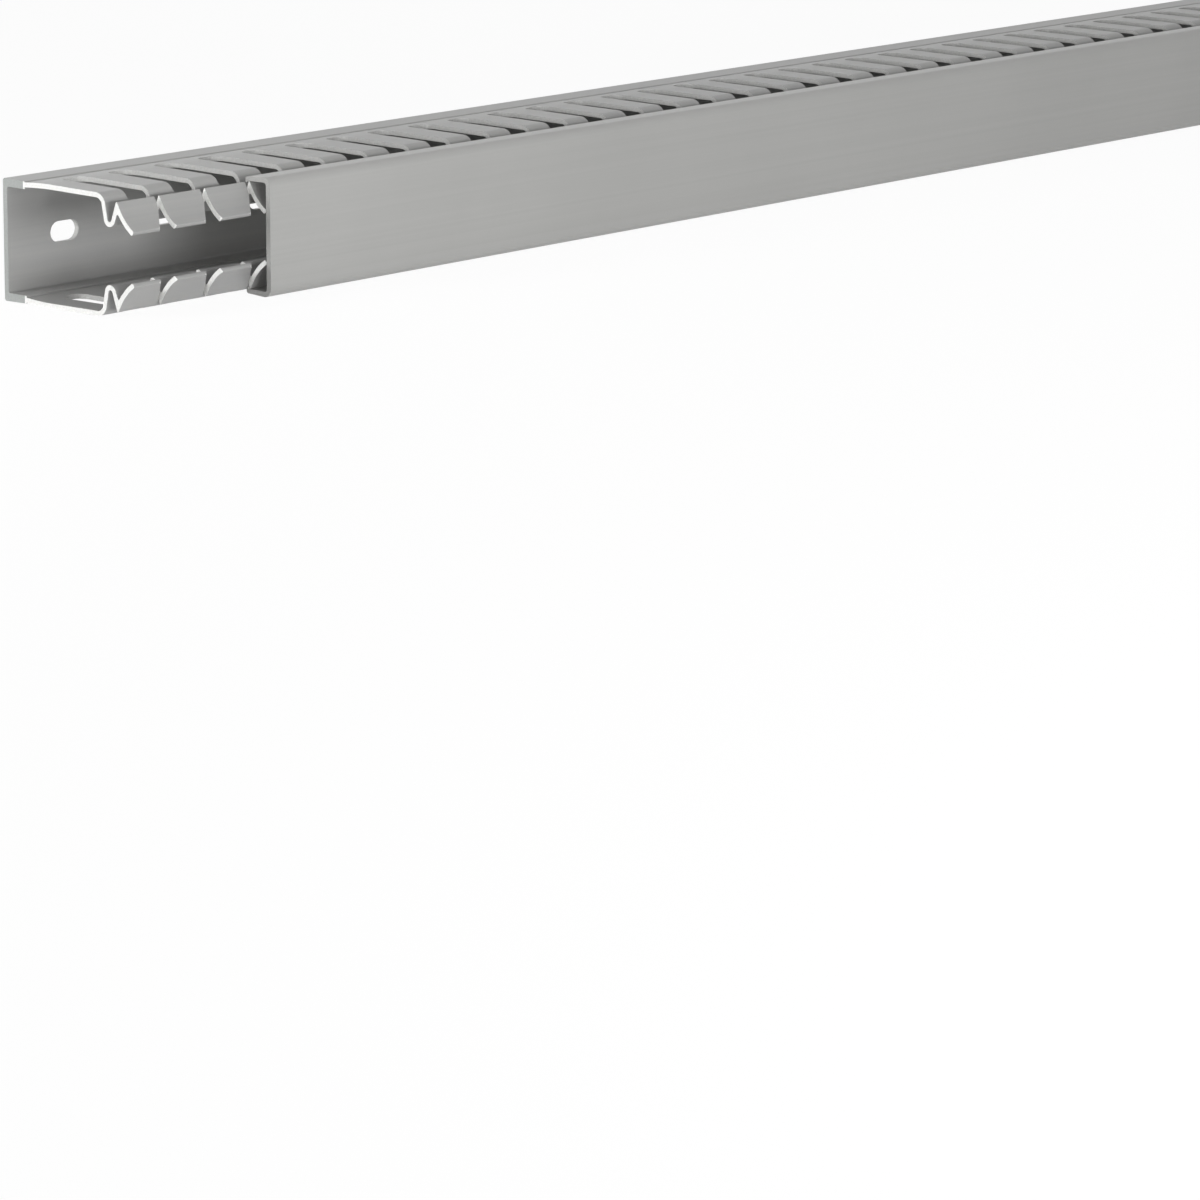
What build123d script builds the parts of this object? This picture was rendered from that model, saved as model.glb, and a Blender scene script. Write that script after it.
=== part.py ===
from build123d import *
import os

# The slotted duct lies on its side: X runs along its length, its mounting back faces +Y at Y 0,
# its cover faces -Y, and Z 0 is halfway between the two slotted side walls.

# Duct body
duct_length = 500
duct_width = 25
back_wall = 1.2
root_depth = 6.5
root_step = 0.7
edge_radius = 0.6

# Finger section: depths run from the back face, and drops run inward from the duct's side face
finger_wall = 1.0
bulge_depth = 13
ridge_depth = 33.0
ridge_drop = 1.6
groove_drop = 5.7
groove_front_run = 1.6
groove_width = 0.9
groove_rear_run = 0.9
shoulder_ease = 0.7
nose_run = 4.9
nose_drop = 5.45
nose_hollow = 0.7

# Slots punched through both side walls
slot_pitch = 12.5
slot_width = 6.0
first_slot = 6.0
slot_end_depth = 9.5
slot_end_corner = 1.9
slot_end_ease = 0.6
head_gap = 1.35
head_overhang = 4.05
head_corner_width = 3.0
head_corner_depth = 3.7

# Oblong fixing holes through the back wall
hole_pitch = 28
hole_length = 7.7
hole_width = 4.3
first_hole = 15.3

# Cover clipped over the finger ends
cover_length = 500
cover_wall = 1.2
cover_leg_wall = 1.2
cover_leg_taper = 0.4
cover_face_gap = 0.3
cover_ridge_gap = 0.2
cover_lip = 0.4
cover_lip_width = 0.2
cover_lip_gap = 0.35
cover_corner_radius = 2.0
cover_leg_radius = 0.5
cover_slide = 36

# Places that follow from the sizes
half_width = duct_width / 2
finger_start = half_width - root_step
root_inside = finger_start - finger_wall
ridge_height = half_width - ridge_drop
groove_floor_height = half_width - groove_drop
groove_front_depth = ridge_depth - groove_front_run
groove_rear_depth = groove_front_depth - groove_width
shoulder_depth = groove_rear_depth - groove_rear_run
tip_depth = ridge_depth + nose_run
cover_inside = tip_depth + cover_face_gap
cover_face = cover_inside + cover_wall
leg_inside = ridge_height + cover_ridge_gap
leg_outside = leg_inside + cover_leg_wall
lip_height = leg_inside - cover_lip
lip_front_depth = ridge_depth - cover_lip_gap
leg_end_depth = lip_front_depth - cover_lip_width
gap_left = first_slot + head_overhang
gap_right = gap_left + head_gap

# Drawing planes: depth and height across the duct, and length and depth over a side wall
across = Plane(origin=(0, 0, 0), x_dir=(0, -1, 0), z_dir=(-1, 0, 0))
over_wall = Plane(origin=(0, 0, duct_width), x_dir=(1, 0, 0), z_dir=(0, 0, -1))


def extrude_along_duct(half_section, length):
    """Mirror a half section about the middle plane and run it along the duct."""
    section = half_section + mirror(half_section, Plane.XZ)
    return extrude(across * section, amount=-length)


# Trough: back wall and the two root strips that carry the fingers
trough_line = Polyline(
    (0, 0),
    (0, half_width),
    (root_depth, half_width),
    (root_depth, root_inside),
    (back_wall, root_inside),
    (back_wall, 0),
    close=True,
)
trough_half = make_face(trough_line)
back_edge = trough_half.vertices().group_by(Axis.X)[0].sort_by(Axis.Y)[-1]
trough_half = fillet(back_edge, edge_radius)

# Nose: the hollow curve from the ridge down to the finger's tip
nose_line = []
for part in (1 / 3, 2 / 3, 1):
    hollow = 4 * nose_hollow * part * (1 - part)
    nose_line.append((ridge_depth + nose_run * part, ridge_height - nose_drop * part - hollow))

# Finger wall: outer line from the root over the bulge and shoulder, round the groove and ridge
finger_line = Polyline(
    (root_depth - finger_wall, finger_start),
    ((root_depth + bulge_depth) / 2, half_width - root_step / 4),
    (bulge_depth, half_width),
    (shoulder_depth - shoulder_ease, half_width),
    (shoulder_depth, half_width - shoulder_ease),
    (groove_rear_depth, groove_floor_height),
    (groove_front_depth, groove_floor_height),
    (ridge_depth, ridge_height),
    *nose_line,
)
finger_half = make_face(offset(finger_line, finger_wall, side=Side.RIGHT, kind=Kind.INTERSECTION))
duct_base = extrude_along_duct(trough_half + finger_half, duct_length)

# One slot: a wide opening between two fingers that narrows to a gap between their heads
slot_line = Polyline(
    (first_slot, slot_end_depth),
    (first_slot, shoulder_depth),
    (gap_left, groove_front_depth),
    (gap_left, tip_depth - head_corner_depth),
    (gap_left - head_corner_width, tip_depth),
    (gap_left - head_corner_width, cover_face),
    (gap_right, cover_face),
    (gap_right, groove_front_depth),
    (first_slot + slot_width, shoulder_depth),
    (first_slot + slot_width, slot_end_depth),
    close=True,
)
slot_face = make_face(slot_line)
slot_face = chamfer(slot_face.vertices().sort_by(Axis.Y)[:2], slot_end_corner)
slot_face = chamfer(slot_face.vertices().sort_by(Axis.Y)[:4], slot_end_ease)
slot = extrude(over_wall * slot_face, amount=2 * duct_width)
slot_count = int((duct_length - first_slot) / slot_pitch) + 1
slots = [Pos(slot_pitch * n, 0, 0) * slot for n in range(slot_count)]

# The part of a finger that is left past the last slot breaks away, so that slot runs out
last_gap = slot_pitch * (slot_count - 1) + (gap_left + gap_right) / 2
run_out_line = Polyline(
    (last_gap, slot_end_depth),
    (last_gap, cover_face),
    (duct_length + slot_width, cover_face),
    (duct_length + slot_width, slot_end_depth),
    close=True,
)
run_out = extrude(over_wall * make_face(run_out_line), amount=2 * duct_width)

# Fixing holes along the middle of the back wall
hole_plane = Plane(origin=(0, 0, 0), x_dir=(1, 0, 0), z_dir=(0, -1, 0))
hole = extrude(hole_plane * SlotOverall(hole_length, hole_width), amount=back_wall)
hole_count = int((duct_length - first_hole - hole_length) / hole_pitch) + 1
holes = [Pos(first_hole + hole_pitch * n, 0, 0) * hole for n in range(hole_count)]

duct_base = duct_base - slots - run_out - holes

# Cover: front plate with two tapered legs whose lips hook behind the finger ridges
cover_line = Polyline(
    (cover_face, 0),
    (cover_face, leg_outside),
    (leg_end_depth, leg_outside - cover_leg_taper),
    (leg_end_depth, lip_height),
    (lip_front_depth, lip_height),
    (lip_front_depth + cover_lip, leg_inside),
    (cover_inside, leg_inside),
    (cover_inside, 0),
    close=True,
)
cover_half = make_face(cover_line)
front_corner = cover_half.vertices().group_by(Axis.X)[-1].sort_by(Axis.Y)[-1]
cover_half = fillet(front_corner, cover_corner_radius)
leg_corner = cover_half.vertices().group_by(Axis.X)[0].sort_by(Axis.Y)[-1]
cover_half = fillet(leg_corner, cover_leg_radius)
duct_cover = Pos(cover_slide, 0, 0) * extrude_along_duct(cover_half, cover_length)

os.makedirs("parts", exist_ok=True)
for node, shape in {"duct_base": duct_base, "duct_cover": duct_cover}.items():
    print(node, len(shape.solids()), "solid", round(shape.volume), "mm3", shape.bounding_box().size)
    export_step(shape.solid(), f"parts/{node}.step")
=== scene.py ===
# %% [markdown]
# # A slotted wire duct with its clip-on cover
#
# A wire duct is extruded from rigid PVC: the plastic is pushed through a die, so that every part of
# its length has the same section. The slots and the fixing holes are punched afterwards, and a saw
# cuts the stock to length. The lesson follows the same order: draw a section, run it along the
# duct, punch it, saw its ends, and only then give each kind of surface its own material.

import bmesh
import bpy
from mathutils import Matrix, Vector


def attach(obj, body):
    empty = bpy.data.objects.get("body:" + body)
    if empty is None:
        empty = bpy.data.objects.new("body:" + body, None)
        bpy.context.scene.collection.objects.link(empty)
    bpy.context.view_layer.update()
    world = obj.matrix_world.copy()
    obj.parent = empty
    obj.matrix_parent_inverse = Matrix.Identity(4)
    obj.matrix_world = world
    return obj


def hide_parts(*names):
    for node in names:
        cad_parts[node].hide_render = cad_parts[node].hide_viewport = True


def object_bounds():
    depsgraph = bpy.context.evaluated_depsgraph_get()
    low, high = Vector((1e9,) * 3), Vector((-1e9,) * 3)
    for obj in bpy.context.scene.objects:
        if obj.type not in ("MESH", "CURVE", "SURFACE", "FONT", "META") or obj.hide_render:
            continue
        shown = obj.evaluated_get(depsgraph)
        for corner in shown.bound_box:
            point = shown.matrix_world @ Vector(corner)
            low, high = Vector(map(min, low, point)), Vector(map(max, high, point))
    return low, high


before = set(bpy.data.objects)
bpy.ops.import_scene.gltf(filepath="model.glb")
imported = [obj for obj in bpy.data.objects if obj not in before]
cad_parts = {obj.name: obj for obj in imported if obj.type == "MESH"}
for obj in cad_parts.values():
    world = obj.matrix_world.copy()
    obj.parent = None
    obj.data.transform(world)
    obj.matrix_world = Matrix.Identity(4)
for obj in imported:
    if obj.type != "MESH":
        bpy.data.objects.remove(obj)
cad_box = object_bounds()

# %% [markdown]
# ## Measures
#
# X runs along the duct, -Y points out of its cover and Z runs from one slotted wall to the other.
# The section is given as depths from the back face and heights from the middle plane, which is how
# it would be measured with callipers. One small function turns such a pair into a place.

# %% Sizes in metres
MM = 0.001
HALF_WIDTH = 12.5 * MM
BACK_WALL = 1.2 * MM
ROOT_DEPTH = 6.5 * MM
ROOT_INSIDE = 10.8 * MM
ROOT_FRONT = 12.35 * MM
WALL = 1.0 * MM
TIP_DEPTH = 37.9 * MM
DUCT_END = 500 * MM
COVER_START = 36 * MM
SPARE = 2 * MM
# Depth past which the thin walls in the sawn ends get the near-white painted highlight
PAINTED_HIGHLIGHT_DEPTH = 5.95 * MM


def place(depth, height, x=0.0):
    """A point of the section, at a place along the duct."""
    return Vector((x, -depth, height))


print("duct", DUCT_END / MM, "mm long,", 2 * HALF_WIDTH / MM, "mm wide")

# %% [markdown]
# ## Two small tools for sections
#
# An extruded section is a flat outline of a few corners. `bmesh.ops.bevel` with affect VERTICES
# rounds a corner of an outline, and its offset is the distance from the corner at which the curve
# starts. Extruding the outline then gives the stock. Both tools below only wrap these operators.


# %% Draw an outline and round its corners
def outline(bm, corners, rounding=(), segments=6):
    """A face through the corners, with each corner that rounding names rounded by that offset."""
    points = [bm.verts.new(corner) for corner in corners]
    bm.faces.new(points)
    for index, offset in rounding:
        bmesh.ops.bevel(
            bm,
            geom=[points[index]],
            offset=offset,
            offset_type="OFFSET",
            affect="VERTICES",
            segments=segments,
            profile=0.5,
            material=-1,
        )


def run_along(bm, vector):
    """Extrude the outline in bm along a vector, and close it at both ends."""
    grown = bmesh.ops.extrude_face_region(bm, geom=bm.faces[:])
    moved = [part for part in grown["geom"] if isinstance(part, bmesh.types.BMVert)]
    bmesh.ops.translate(bm, verts=moved, vec=vector)
    bmesh.ops.recalc_face_normals(bm, faces=bm.faces[:])


def make_piece(name, bm):
    """Keep a bmesh as an object at the origin."""
    mesh = bpy.data.meshes.new(name)
    bm.to_mesh(mesh)
    bm.free()
    piece = bpy.data.objects.new(name, mesh)
    bpy.context.scene.collection.objects.link(piece)
    print(name, len(mesh.polygons), "faces")
    return piece


# %% [markdown]
# ## The trough
#
# The closed part of the duct is a shallow trough: the back wall and two thick root strips that
# carry the fingers. Its outline has eight corners, and the strips narrow a little towards the
# fingers. The outer edges are rounded as the die leaves them, and the inner ones have a small
# fillet, because plastic doesn't flow into a sharp corner.

# %% Trough
OUTER_ROUNDING = 0.6 * MM
INNER_ROUNDING = 0.5 * MM
STRIP_ROUNDING = 0.3 * MM

trough_bm = bmesh.new()
outline(
    trough_bm,
    [
        place(0, -HALF_WIDTH, -SPARE),
        place(0, HALF_WIDTH, -SPARE),
        place(ROOT_DEPTH, ROOT_FRONT, -SPARE),
        place(ROOT_DEPTH, ROOT_INSIDE, -SPARE),
        place(BACK_WALL, ROOT_INSIDE, -SPARE),
        place(BACK_WALL, -ROOT_INSIDE, -SPARE),
        place(ROOT_DEPTH, -ROOT_INSIDE, -SPARE),
        place(ROOT_DEPTH, -ROOT_FRONT, -SPARE),
    ],
    rounding=[
        (0, OUTER_ROUNDING),
        (1, OUTER_ROUNDING),
        (2, STRIP_ROUNDING),
        (4, INNER_ROUNDING),
        (5, INNER_ROUNDING),
        (7, STRIP_ROUNDING),
    ],
)
run_along(trough_bm, Vector((DUCT_END + 2 * SPARE, 0, 0)))
duct = make_piece("duct_body", trough_bm)

# %% [markdown]
# ## The finger walls
#
# Above each root strip stands a thin wall that swells out a little, turns in at a shoulder, folds
# round a narrow groove, and rises to the ridge that the cover snaps over. From there a hollow nose
# runs down to the tip. Only the outer line is drawn: it is extruded to a strip,
# `bmesh.ops.solidify` gives the strip its thickness, and the long edges are bevelled last, each by
# its own amount. Rounding after the thickness keeps the inner side of a tight bend clean, where an
# offset of a small arc would cross itself.

# %% Outer line of a finger wall
# Depth, height, rounding outside and rounding inside, in millimetres
FINGER_LINE = [
    (5.9, 12.12, 0.0, 0.0),
    (9.75, 12.4, 1.6, 1.6),
    (13.0, 12.5, 1.4, 1.4),
    (28.2, 12.32, 0.9, 0.4),
    (29.65, 11.1, 0.7, 0.3),
    (30.5, 6.8, 0.36, 1.15),
    (31.4, 6.8, 0.36, 1.15),
    (33.02, 11.18, 0.45, 0.12),
    (34.63, 8.46, 0.8, 0.8),
    (36.27, 6.64, 0.8, 0.8),
    (37.9, 5.45, 0.3, 0.3),
]
WALL_START = -2 * SPARE
WALL_RUN = DUCT_END + 4 * SPARE
SAME_PLACE = 0.001 * MM
ON_THE_LINE = 0.01 * MM


def finger_wall(name):
    """The upper wall as a solid sheet with rounded bends."""
    bm = bmesh.new()
    points = [bm.verts.new(place(d * MM, h * MM, WALL_START)) for d, h, *_ in FINGER_LINE]
    edges = [bm.edges.new(pair) for pair in zip(points, points[1:])]
    grown = bmesh.ops.extrude_edge_only(bm, edges=edges)
    moved = [part for part in grown["geom"] if isinstance(part, bmesh.types.BMVert)]
    bmesh.ops.translate(bm, verts=moved, vec=Vector((WALL_RUN, 0, 0)))
    bmesh.ops.recalc_face_normals(bm, faces=bm.faces[:])
    # Solidify adds its thickness against the normals, so they have to point up and outwards
    if sum(face.normal.z * face.calc_area() for face in bm.faces) < 0:
        bmesh.ops.reverse_faces(bm, faces=bm.faces[:])
    bm.normal_update()
    bmesh.ops.solidify(bm, geom=bm.faces[:], thickness=WALL)
    bmesh.ops.remove_doubles(bm, verts=bm.verts[:], dist=SAME_PLACE)
    round_bends(bm)
    bmesh.ops.recalc_face_normals(bm, faces=bm.faces[:])
    return make_piece(name, bm)


def along_duct(edge):
    """True for an edge that runs the whole length of the stock."""
    a, b = (vert.co for vert in edge.verts)
    return abs(a.x - b.x) > 0.9 * WALL_RUN


def nearest_corner(edge):
    """The corner of FINGER_LINE that a long edge belongs to, and how far it lies from it."""
    spot = edge.verts[0].co
    gaps = [(spot - place(d * MM, h * MM, spot.x)).length for d, h, *_ in FINGER_LINE]
    return gaps.index(min(gaps)), min(gaps)


def round_bends(bm):
    """Bevel the long edges of the sheet: those on the drawn line, then those on its inner side."""
    chosen = []
    for edge in filter(along_duct, bm.edges):
        index, gap = nearest_corner(edge)
        outside = gap < ON_THE_LINE
        chosen.append((edge, index, FINGER_LINE[index][2 if outside else 3] * MM))
    for offset in sorted({offset for _, _, offset in chosen if offset > 0}):
        bmesh.ops.bevel(
            bm,
            geom=[edge for edge, _, size in chosen if size == offset and edge.is_valid],
            offset=offset,
            offset_type="OFFSET",
            affect="EDGES",
            segments=6,
            profile=0.5,
            material=-1,
        )


upper_wall = finger_wall("upper_wall")

# %% [markdown]
# ## Joining and punching
#
# An exact Boolean does what the tools do to the real part. The two walls are joined to the trough,
# and then one set of punches takes out every slot and every fixing hole. The lower wall is the
# upper one mirrored, and a mirrored mesh is inside out until its normals are recalculated.

# %% Join the walls to the trough
def mirrored(piece, name):
    """A copy of a piece, mirrored about the middle plane."""
    bm = bmesh.new()
    bm.from_mesh(piece.data)
    bmesh.ops.scale(bm, vec=Vector((1, 1, -1)), verts=bm.verts[:])
    bmesh.ops.recalc_face_normals(bm, faces=bm.faces[:])
    return make_piece(name, bm)


def combine(piece, other, operation):
    """Join a piece with another, or cut the other out of it, and keep the result as its mesh."""
    step = piece.modifiers.new(operation.lower(), "BOOLEAN")
    step.operation = operation
    step.object = other
    step.solver = "EXACT"
    step.material_mode = "TRANSFER"
    depsgraph = bpy.context.evaluated_depsgraph_get()
    result = bpy.data.meshes.new_from_object(piece.evaluated_get(depsgraph))
    piece.modifiers.remove(step)
    piece.data = result
    bpy.data.objects.remove(other)
    print(operation.lower(), "gives", len(result.polygons), "faces")


lower_wall = mirrored(upper_wall, "lower_wall")
combine(duct, upper_wall, "UNION")
combine(duct, lower_wall, "UNION")

# %% [markdown]
# ## The punches
#
# A slot is wide between the fingers and narrow between their heads, so each finger ends in a head
# that overhangs to one side and holds the wires in. One free corner of the head is cut away, to
# let a wire slip in, and the corners that this leaves are rounded. The inner end of the slot is
# round, which keeps it from tearing. The fixing holes are oblong, so that the duct can be shifted
# a little before its screws are tightened.

# %% Slots
# Starts and ends lie along the duct, and depths are measured from the back face
SLOT_PITCH = 12.5 * MM
SLOT_START = 6.0 * MM
SLOT_WIDTH = 6.0 * MM
SLOT_END_DEPTH = 9.5 * MM
SLOT_END_ROUNDING = 2.6 * MM
SHOULDER_DEPTH = 29.6 * MM
HEAD_DEPTH = 31.4 * MM
GAP_START = 10.05 * MM
GAP_END = 11.4 * MM
HEAD_CORNER_WIDTH = 3.0 * MM
HEAD_CORNER_DEPTH = 3.7 * MM
HEAD_ROUNDING = 0.7 * MM
TIP_LINE = 1.5 * MM
PUNCH_DEPTH = 41 * MM
PUNCH_HEIGHT = 15 * MM
SLOT_COUNT = 40
RUN_OUT = 3 * MM

punches_bm = bmesh.new()


def slot_punch(start, run_out=0.0):
    """One punch through both walls. run_out moves its far side past the end of the duct."""
    gap_start = start + GAP_START - SLOT_START
    gap_end = start + GAP_END - SLOT_START + run_out
    far_side = start + SLOT_WIDTH + run_out
    bm = bmesh.new()
    corners = [
        (start, SLOT_END_DEPTH),
        (start, SHOULDER_DEPTH),
        (gap_start, HEAD_DEPTH),
        (gap_start, TIP_DEPTH - HEAD_CORNER_DEPTH),
        (gap_start - HEAD_CORNER_WIDTH, TIP_DEPTH),
        (gap_start - HEAD_CORNER_WIDTH - TIP_LINE, TIP_DEPTH),
        (gap_start - HEAD_CORNER_WIDTH - TIP_LINE, PUNCH_DEPTH),
        (gap_end + TIP_LINE, PUNCH_DEPTH),
        (gap_end + TIP_LINE, TIP_DEPTH),
        (gap_end, TIP_DEPTH),
        (gap_end, HEAD_DEPTH),
        (far_side, SHOULDER_DEPTH),
        (far_side, SLOT_END_DEPTH),
    ]
    outline(
        bm,
        [place(depth, -PUNCH_HEIGHT, x) for x, depth in corners],
        rounding=[
            (0, SLOT_END_ROUNDING),
            (3, HEAD_ROUNDING),
            (4, HEAD_ROUNDING),
            (9, HEAD_ROUNDING),
            (12, SLOT_END_ROUNDING),
        ],
        segments=8,
    )
    run_along(bm, Vector((0, 0, 2 * PUNCH_HEIGHT)))
    return bm


def add_copy(target, source, shift):
    """Add a shifted copy of one bmesh to another."""
    mesh = bpy.data.meshes.new("copy")
    source.to_mesh(mesh)
    mesh.transform(Matrix.Translation(shift))
    target.from_mesh(mesh)
    bpy.data.meshes.remove(mesh)


one_slot = slot_punch(SLOT_START)
for number in range(SLOT_COUNT - 1):
    add_copy(punches_bm, one_slot, Vector((number * SLOT_PITCH, 0, 0)))
last_slot = slot_punch(SLOT_START + (SLOT_COUNT - 1) * SLOT_PITCH, RUN_OUT)
add_copy(punches_bm, last_slot, Vector())
one_slot.free()
last_slot.free()
print(SLOT_COUNT, "slots through both walls")

# %% Fixing holes
HOLE_LENGTH = 7.7 * MM
HOLE_WIDTH = 4.3 * MM
HOLE_START = 15.3 * MM
HOLE_PITCH = 28.0 * MM
HOLE_COUNT = 18
HOLE_PUNCH_START = -1.0 * MM
HOLE_PUNCH_RUN = 3.0 * MM
# Just under half the width, so that two roundings don't meet in one point
HOLE_ROUNDING = 0.999 * HOLE_WIDTH / 2

one_hole = bmesh.new()
half_length, half_hole = HOLE_LENGTH / 2, HOLE_WIDTH / 2
outline(
    one_hole,
    [
        place(HOLE_PUNCH_START, -half_hole, -half_length),
        place(HOLE_PUNCH_START, -half_hole, half_length),
        place(HOLE_PUNCH_START, half_hole, half_length),
        place(HOLE_PUNCH_START, half_hole, -half_length),
    ],
    rounding=[(index, HOLE_ROUNDING) for index in range(4)],
    segments=8,
)
run_along(one_hole, Vector((0, -HOLE_PUNCH_RUN, 0)))
for number in range(HOLE_COUNT):
    add_copy(punches_bm, one_hole, Vector((HOLE_START + number * HOLE_PITCH, 0, 0)))
one_hole.free()
print(HOLE_COUNT, "fixing holes")

# %% [markdown]
# ## Skin and cut faces
#
# The outside and inside are the satin skin that the die leaves. A cut face is matt and a little
# paler. The cut faces of the finger heads and of the thin walls at the sawn ends get a near-white
# colour: a painted highlight in place of the light that falls on them, not the plastic's own
# colour.
# The punches carry the material of a plain cut, and the Boolean passes it on to every face they
# make.

# %% Colours and nodes
def paint(code):
    """An sRGB hex colour as the linear colour that nodes take."""
    parts = [int(code[index : index + 2], 16) / 255 for index in (1, 3, 5)]
    linear = [p / 12.92 if p <= 0.04045 else ((p + 0.055) / 1.055) ** 2.4 for p in parts]
    return (*linear, 1.0)


def add_node(tree, kind, inputs=None, **settings):
    """Add a node. inputs maps a socket to its value, or to the socket that feeds it."""
    node = tree.nodes.new(kind)
    for name, value in settings.items():
        setattr(node, name, value)
    for name, value in (inputs or {}).items():
        if isinstance(value, bpy.types.NodeSocket):
            tree.links.new(value, node.inputs[name])
        else:
            node.inputs[name].default_value = value
    return node


def new_material(name):
    """An empty node material and its tree."""
    material = bpy.data.materials.new(name)
    material.use_nodes = True
    material.node_tree.nodes.clear()
    return material, material.node_tree


# %% Extruded PVC
PVC_IOR = 1.53
LINE_RUN = 250 * MM
LINE_SPACING = 0.8 * MM
CLOUD_WIDTH = 40 * MM
GRAIN_WIDTH = 0.35 * MM


def extruded_pvc(name, colour, dark, roughness):
    """Rigid PVC as it leaves the die: satin, with faint lines along the duct and a fine grain."""
    material, tree = new_material(name)
    spot = add_node(tree, "ShaderNodeTexCoord").outputs["Object"]
    # Scratches in the die draw faint lines along the stock
    lines_at = add_node(
        tree,
        "ShaderNodeMapping",
        {"Vector": spot, "Scale": (1 / LINE_RUN, 1 / LINE_SPACING, 1 / LINE_SPACING)},
    )
    lines = add_node(
        tree,
        "ShaderNodeTexNoise",
        {"Vector": lines_at.outputs["Vector"], "Scale": 1.0, "Detail": 2.0, "Roughness": 0.6},
    )
    # The colour varies a little in soft clouds
    clouds = add_node(
        tree, "ShaderNodeTexNoise", {"Vector": spot, "Scale": 1 / CLOUD_WIDTH, "Detail": 3.0}
    )
    # The grain is drawn coarser than the real one, so that it shows
    grain = add_node(
        tree, "ShaderNodeTexNoise", {"Vector": spot, "Scale": 1 / GRAIN_WIDTH, "Detail": 2.0}
    )
    both = add_node(
        tree,
        "ShaderNodeMath",
        {0: lines.outputs["Fac"], 1: clouds.outputs["Fac"]},
        operation="ADD",
    )
    tint = add_node(
        tree,
        "ShaderNodeMapRange",
        {"Value": both.outputs[0], "From Min": 0.7, "From Max": 1.3, "To Min": 0.0, "To Max": 1.0},
    )
    base = add_node(
        tree,
        "ShaderNodeMix",
        {"Factor": tint.outputs["Result"]},
        data_type="RGBA",
    )
    base.inputs[6].default_value = paint(dark)
    base.inputs[7].default_value = paint(colour)
    satin = add_node(
        tree,
        "ShaderNodeMapRange",
        {
            "Value": lines.outputs["Fac"],
            "From Min": 0.3,
            "From Max": 0.7,
            "To Min": roughness - 0.05,
            "To Max": roughness + 0.05,
        },
    )
    line_bump = add_node(
        tree,
        "ShaderNodeBump",
        {"Height": lines.outputs["Fac"], "Strength": 0.25, "Distance": 0.02 * MM},
    )
    grain_bump = add_node(
        tree,
        "ShaderNodeBump",
        {
            "Height": grain.outputs["Fac"],
            "Strength": 0.3,
            "Distance": 0.01 * MM,
            "Normal": line_bump.outputs["Normal"],
        },
    )
    shader = add_node(
        tree,
        "ShaderNodeBsdfPrincipled",
        {
            "Base Color": base.outputs[2],
            "Roughness": satin.outputs["Result"],
            "Normal": grain_bump.outputs["Normal"],
            "IOR": PVC_IOR,
        },
    )
    add_node(tree, "ShaderNodeOutputMaterial", {"Surface": shader.outputs["BSDF"]})
    return material


# %% Punched and sawn PVC
def cut_pvc(name, colour, dark, spacing, roughness):
    """PVC that a tool has cut: matt, with marks as far apart as spacing."""
    material, tree = new_material(name)
    spot = add_node(tree, "ShaderNodeTexCoord").outputs["Object"]
    marks = add_node(
        tree,
        "ShaderNodeTexNoise",
        {"Vector": spot, "Scale": 1 / spacing, "Detail": 3.0, "Roughness": 0.65},
    )
    tint = add_node(
        tree,
        "ShaderNodeMapRange",
        {"Value": marks.outputs["Fac"], "From Min": 0.35, "From Max": 0.6},
    )
    base = add_node(
        tree, "ShaderNodeMix", {"Factor": tint.outputs["Result"]}, data_type="RGBA"
    )
    base.inputs[6].default_value = paint(dark)
    base.inputs[7].default_value = paint(colour)
    bump = add_node(
        tree,
        "ShaderNodeBump",
        {"Height": marks.outputs["Fac"], "Strength": 0.5, "Distance": 0.03 * MM},
    )
    shader = add_node(
        tree,
        "ShaderNodeBsdfPrincipled",
        {
            "Base Color": base.outputs[2],
            "Roughness": roughness,
            "Normal": bump.outputs["Normal"],
            "IOR": PVC_IOR,
        },
    )
    add_node(tree, "ShaderNodeOutputMaterial", {"Surface": shader.outputs["BSDF"]})
    return material


DUCT_SKIN = extruded_pvc("extruded_pvc_duct", "#A9A9A7", "#A1A1A1", 0.45)
COVER_SKIN = extruded_pvc("extruded_pvc_cover", "#B0B0AE", "#AAAAA8", 0.42)
PUNCHED = cut_pvc("punched_pvc", "#C2C2C0", "#B6B6B4", 0.4 * MM, 0.6)
# Near-white cut faces: a painted highlight standing in for light on these faces, not the PVC's
# colour
PAINTED_HIGHLIGHT = cut_pvc("painted_highlight_pvc", "#F4F4F2", "#E8E8E5", 0.4 * MM, 0.7)
SAWN = cut_pvc("sawn_pvc", "#A8ABA9", "#9C9F9D", 0.3 * MM, 0.7)
SAWN_COVER = cut_pvc("sawn_cover_pvc", "#AEAEAC", "#A4A4A2", 0.3 * MM, 0.6)

# %% Punch the duct
punches = make_piece("punches", punches_bm)
punches.data.materials.append(PUNCHED)
duct.data.materials.clear()
duct.data.materials.append(DUCT_SKIN)
combine(duct, punches, "DIFFERENCE")
print("materials on the duct:", [material.name for material in duct.data.materials])

# %% [markdown]
# ## Sawing to length
#
# The stock was drawn a little too long on purpose. `bmesh.ops.bisect_plane` cuts it at both ends
# and throws the offcuts away, and the open section is then filled with one face.


# %% Saw both ends
CUT_PRECISION = 0.0001 * MM


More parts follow.
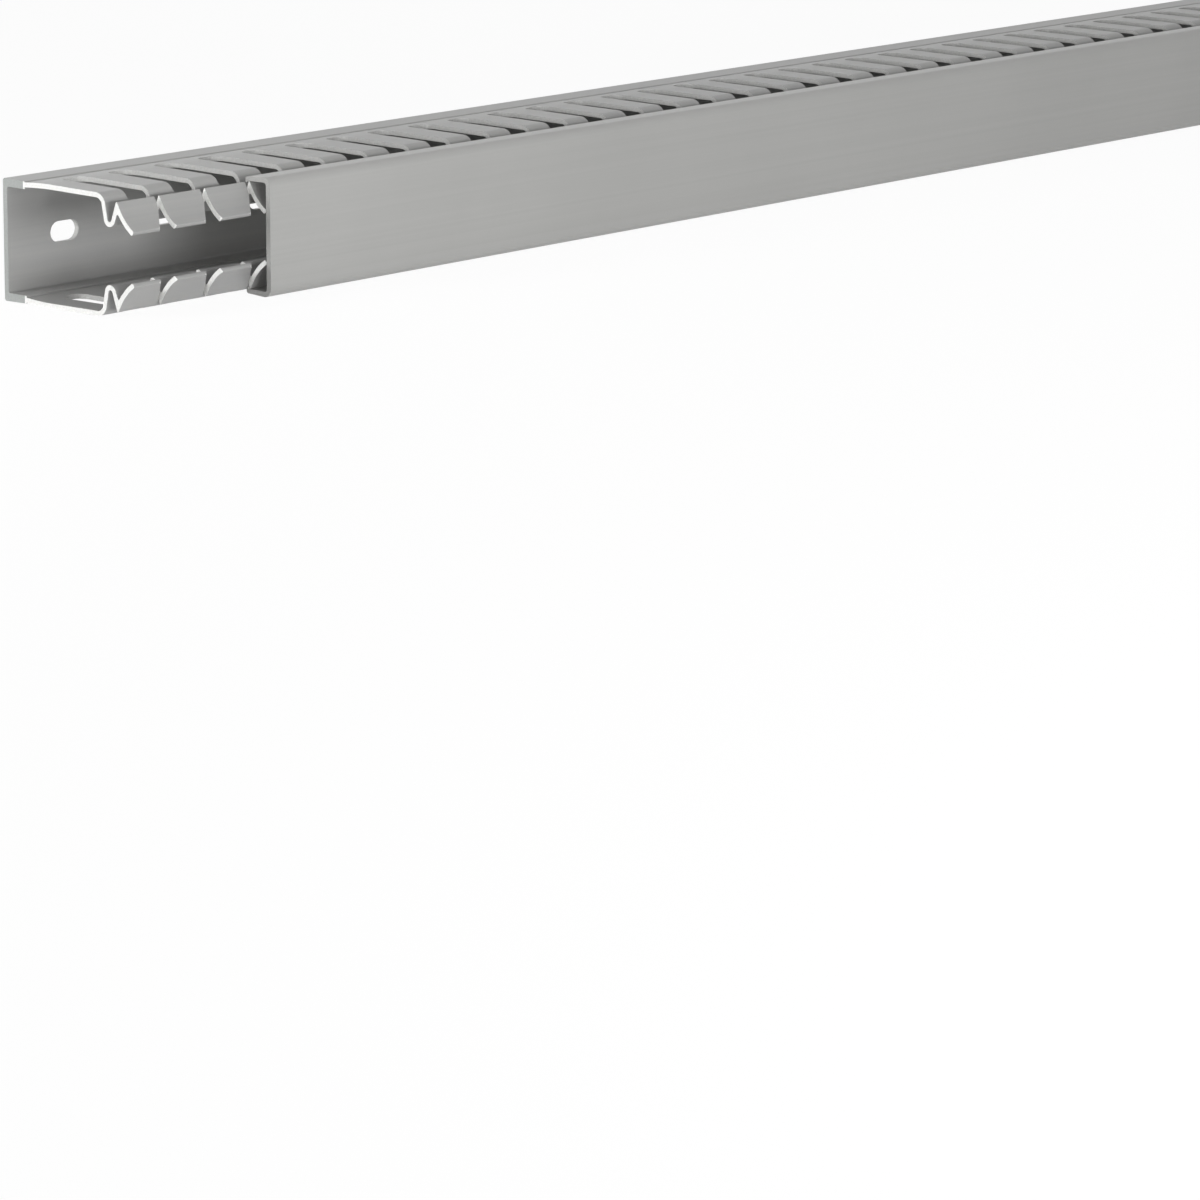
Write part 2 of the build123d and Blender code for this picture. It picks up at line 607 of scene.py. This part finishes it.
def saw(piece, start, end, finish):
    """Cut a piece to length along X, and give the sawn faces their own finish."""
    bm = bmesh.new()
    bm.from_mesh(piece.data)
    sawn = len(piece.data.materials)
    piece.data.materials.append(finish)
    for x, outward in ((start, -1), (end, 1)):
        cut = bmesh.ops.bisect_plane(
            bm,
            geom=bm.verts[:] + bm.edges[:] + bm.faces[:],
            dist=CUT_PRECISION,
            plane_co=Vector((x, 0, 0)),
            plane_no=Vector((outward, 0, 0)),
            clear_outer=True,
        )
        edges = [part for part in cut["geom_cut"] if isinstance(part, bmesh.types.BMEdge)]
        faces = bmesh.ops.edgeloop_fill(bm, edges=edges)["faces"]
        for face in faces:
            face.material_index = sawn
        print("sawn at", round(x / MM, 1), "mm:", len(faces), "face")
    bmesh.ops.recalc_face_normals(bm, faces=bm.faces[:])
    bm.to_mesh(piece.data)
    bm.free()


saw(duct, 0, DUCT_END, SAWN)

# %% [markdown]
# ## Where the cuts get a painted highlight
#
# Two places get a near-white painted highlight, standing in for the light that falls on them: the
# finger heads, past the shoulder, and the thin walls in the sawn ends. A sawn end is one large
# face, so it's first split with `bisect_plane` where the wall leaves the thick root strip. After
# that the depth of a cut face alone tells which finish it has.


# %% Give the head cuts and the thin end walls the painted highlight
def depth_of(face):
    """How deep the middle of a face lies, measured from the back."""
    return -face.calc_center_median().y


duct_bm = bmesh.new()
duct_bm.from_mesh(duct.data)
cut_slot = duct.data.materials.find(PUNCHED.name)
sawn_slot = duct.data.materials.find(SAWN.name)
highlight_slot = len(duct.data.materials)
duct.data.materials.append(PAINTED_HIGHLIGHT)

ends = [face for face in duct_bm.faces if face.material_index == sawn_slot]
end_edges = {edge for face in ends for edge in face.edges}
end_points = {vert for face in ends for vert in face.verts}
bmesh.ops.bisect_plane(
    duct_bm,
    geom=[*end_points, *end_edges, *ends],
    dist=CUT_PRECISION,
    plane_co=place(PAINTED_HIGHLIGHT_DEPTH, 0),
    plane_no=Vector((0, 1, 0)),
)
given_painted_highlight = 0
# Cut faces past the shoulder and thin sawn walls get the near-white painted highlight
for face in duct_bm.faces:
    head_cut_highlight = face.material_index == cut_slot and depth_of(face) > SHOULDER_DEPTH
    end_wall_highlight = face.material_index == sawn_slot and depth_of(face) > PAINTED_HIGHLIGHT_DEPTH
    if head_cut_highlight or end_wall_highlight:
        face.material_index = highlight_slot
        given_painted_highlight += 1
duct_bm.to_mesh(duct.data)
duct_bm.free()
print(given_painted_highlight, "faces whitened")

# %% [markdown]
# ## The cover
#
# The cover is a plain channel. Its legs end in small lips that catch behind the ridges of the
# fingers. It is as long as the duct and has been slid back from one end, so that the first three
# fingers show.

# %% Cover
# The half section: depth, height and rounding of each corner, in millimetres
COVER_FACE = 39.4
COVER_INSIDE = 38.2
LEG_OUTSIDE = 12.3
LEG_TAPER = 0.4
LEG_INSIDE = 11.1
LIP_HEIGHT = 10.7
LIP_FRONT = 32.65
LEG_END = 32.45
LIP_SLOPE = 0.4
COVER_HALF = [
    (COVER_FACE, LEG_OUTSIDE, 2.0),
    (LEG_END, LEG_OUTSIDE - LEG_TAPER, 0.5),
    (LEG_END, LIP_HEIGHT, 0.08),
    (LIP_FRONT, LIP_HEIGHT, 0.08),
    (LIP_FRONT + LIP_SLOPE, LEG_INSIDE, 0.1),
    (COVER_INSIDE, LEG_INSIDE, 0.6),
]
cover_corners = COVER_HALF + [(d, -h, r) for d, h, r in reversed(COVER_HALF)]

cover_bm = bmesh.new()
outline(
    cover_bm,
    [place(d * MM, h * MM, COVER_START - SPARE) for d, h, _ in cover_corners],
    rounding=[(index, r * MM) for index, (_, _, r) in enumerate(cover_corners)],
)
run_along(cover_bm, Vector((DUCT_END + 2 * SPARE, 0, 0)))
cover = make_piece("duct_cover_shell", cover_bm)
cover.data.materials.append(COVER_SKIN)
saw(cover, COVER_START, COVER_START + DUCT_END, SAWN_COVER)

# %% [markdown]
# ## Smooth bends, sharp cuts
#
# Bends and roundings are shaded smooth and cut edges stay sharp. The Weighted Normal modifier lets
# the large flat faces set the shading, so that a small rounding doesn't pull a gradient over them.

# %% Shading and the frame
SHARP_ANGLE = 0.6

for piece, node, body, finish in (
    (duct, "duct_base", "base", "duct_plastic"),
    (cover, "duct_cover", "cover", "cover_plastic"),
):
    piece.data.shade_smooth()
    piece.data.set_sharp_from_angle(angle=SHARP_ANGLE)
    weighted = piece.modifiers.new("weighted_normals", "WEIGHTED_NORMAL")
    weighted.keep_sharp = True
    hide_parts(node)
    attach(piece, body)
    triangles = sum(len(polygon.vertices) - 2 for polygon in piece.data.polygons)
    print(piece.name, triangles, "triangles")
    # The hidden CAD node gets the same plastic as the piece that stands for it
    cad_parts[node].data.materials.clear()
    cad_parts[node].data.materials.append(DUCT_SKIN if piece is duct else COVER_SKIN)

# %% [markdown]
# ## The studio
#
# The duct lies on a pale floor in an even white room. Seen by the camera the floor is nearly white,
# which Light Path gives it without more light on the object, and it still takes a soft shadow.

# %% Floor
FLOOR_HALF_SIZE = 4.0
# How far the floor's own colour gives way to white where the background is seen
FLOOR_WHITE = 0.94

floor_bm = bmesh.new()
bmesh.ops.create_grid(floor_bm, x_segments=1, y_segments=1, size=FLOOR_HALF_SIZE)
bmesh.ops.translate(floor_bm, verts=floor_bm.verts[:], vec=Vector((0.25, 0, cad_box[0].z)))
floor = make_piece("studio_floor", floor_bm)
floor_paint, floor_tree = new_material("studio_floor")


def seen_rays(tree):
    """1 for rays that show the background: from the camera, or by way of gloss or glass."""
    path = add_node(tree, "ShaderNodeLightPath")
    gloss = add_node(
        tree,
        "ShaderNodeMath",
        {0: path.outputs["Is Camera Ray"], 1: path.outputs["Is Glossy Ray"]},
        operation="MAXIMUM",
    )
    both = add_node(
        tree,
        "ShaderNodeMath",
        {0: gloss.outputs[0], 1: path.outputs["Is Transmission Ray"]},
        operation="MAXIMUM",
    )
    return both.outputs[0]


diffuse = add_node(
    floor_tree, "ShaderNodeBsdfDiffuse", {"Color": paint("#F4F4F4"), "Roughness": 1.0}
)
white = add_node(floor_tree, "ShaderNodeEmission", {"Color": paint("#FFFFFF"), "Strength": 1.0})
seen = add_node(
    floor_tree,
    "ShaderNodeMath",
    {0: seen_rays(floor_tree), 1: FLOOR_WHITE},
    operation="MULTIPLY",
)
mixed = add_node(
    floor_tree,
    "ShaderNodeMixShader",
    {0: seen.outputs[0], 1: diffuse.outputs["BSDF"], 2: white.outputs["Emission"]},
)
add_node(floor_tree, "ShaderNodeOutputMaterial", {"Surface": mixed.outputs[0]})
floor.data.materials.append(floor_paint)

# %% World and lamps
world = bpy.data.worlds.new("studio")
bpy.context.scene.world = world
world.use_nodes = True
world.node_tree.nodes.clear()
ROOM_LIGHT = 0.2
strength = add_node(
    world.node_tree,
    "ShaderNodeMapRange",
    {"Value": seen_rays(world.node_tree), "To Min": ROOM_LIGHT, "To Max": 1.0},
)
background = add_node(
    world.node_tree,
    "ShaderNodeBackground",
    {"Color": paint("#FFFFFF"), "Strength": strength.outputs["Result"]},
)
add_node(world.node_tree, "ShaderNodeOutputWorld", {"Surface": background.outputs[0]})


def softbox(name, spot, target, width, height, power):
    """An area lamp at spot that faces target, in metres and watts."""
    lamp = bpy.data.lights.new(name, "AREA")
    lamp.shape = "RECTANGLE"
    lamp.size = width
    lamp.size_y = height
    lamp.energy = power
    holder = bpy.data.objects.new(name, lamp)
    holder.location = spot
    direction = Vector(target) - Vector(spot)
    holder.rotation_euler = direction.to_track_quat("-Z", "Y").to_euler()
    # Hidden from the camera, because a view from another side may have a lamp in front of it
    holder.visible_camera = False
    bpy.context.scene.collection.objects.link(holder)


softbox("end", (-0.28, 0.08, 0.1), (0.0, 0, 0), 0.1, 0.1, 0.5)
softbox("left", (-0.85, -0.55, 0.1), (0.0, 0, 0), 0.3, 0.2, 2.15)
softbox("front", (-0.1, -0.7, 0.06), (0.05, 0, 0), 0.4, 0.14, 2.25)
softbox("right", (0.35, -0.8, 0.06), (0.1, 0, 0), 0.3, 0.14, 0.35)
softbox("top", (-0.1, 0.1, 0.9), (0.05, 0, 0), 0.5, 0.5, 1.45)
softbox("back", (0.4, 1.0, 0.15), (0.25, 0, 0), 0.6, 0.3, 7)

# %% [markdown]
# ## The camera
#
# The camera stands in front of the open end, low over the floor. Its lens is long, so that the
# duct hardly narrows towards its far end, and its frame is shifted down, which puts the duct at the
# top of the picture.

# %% Camera
camera_data = bpy.data.cameras.new("camera")
camera_data.sensor_width = 36
camera_data.lens = 149.04
camera_data.shift_y = -0.3691
camera = bpy.data.objects.new("camera", camera_data)
camera.location = (-0.6578, -0.7392, 0.1624)
camera.rotation_mode = "QUATERNION"
camera.rotation_quaternion = Vector((0.7420, 0.6542, -0.1468)).to_track_quat("-Z", "Y")
camera_data.clip_start = 0.01
camera_data.clip_end = 20
bpy.context.scene.collection.objects.link(camera)
bpy.context.scene.camera = camera
bpy.context.scene.view_settings.view_transform = "Standard"
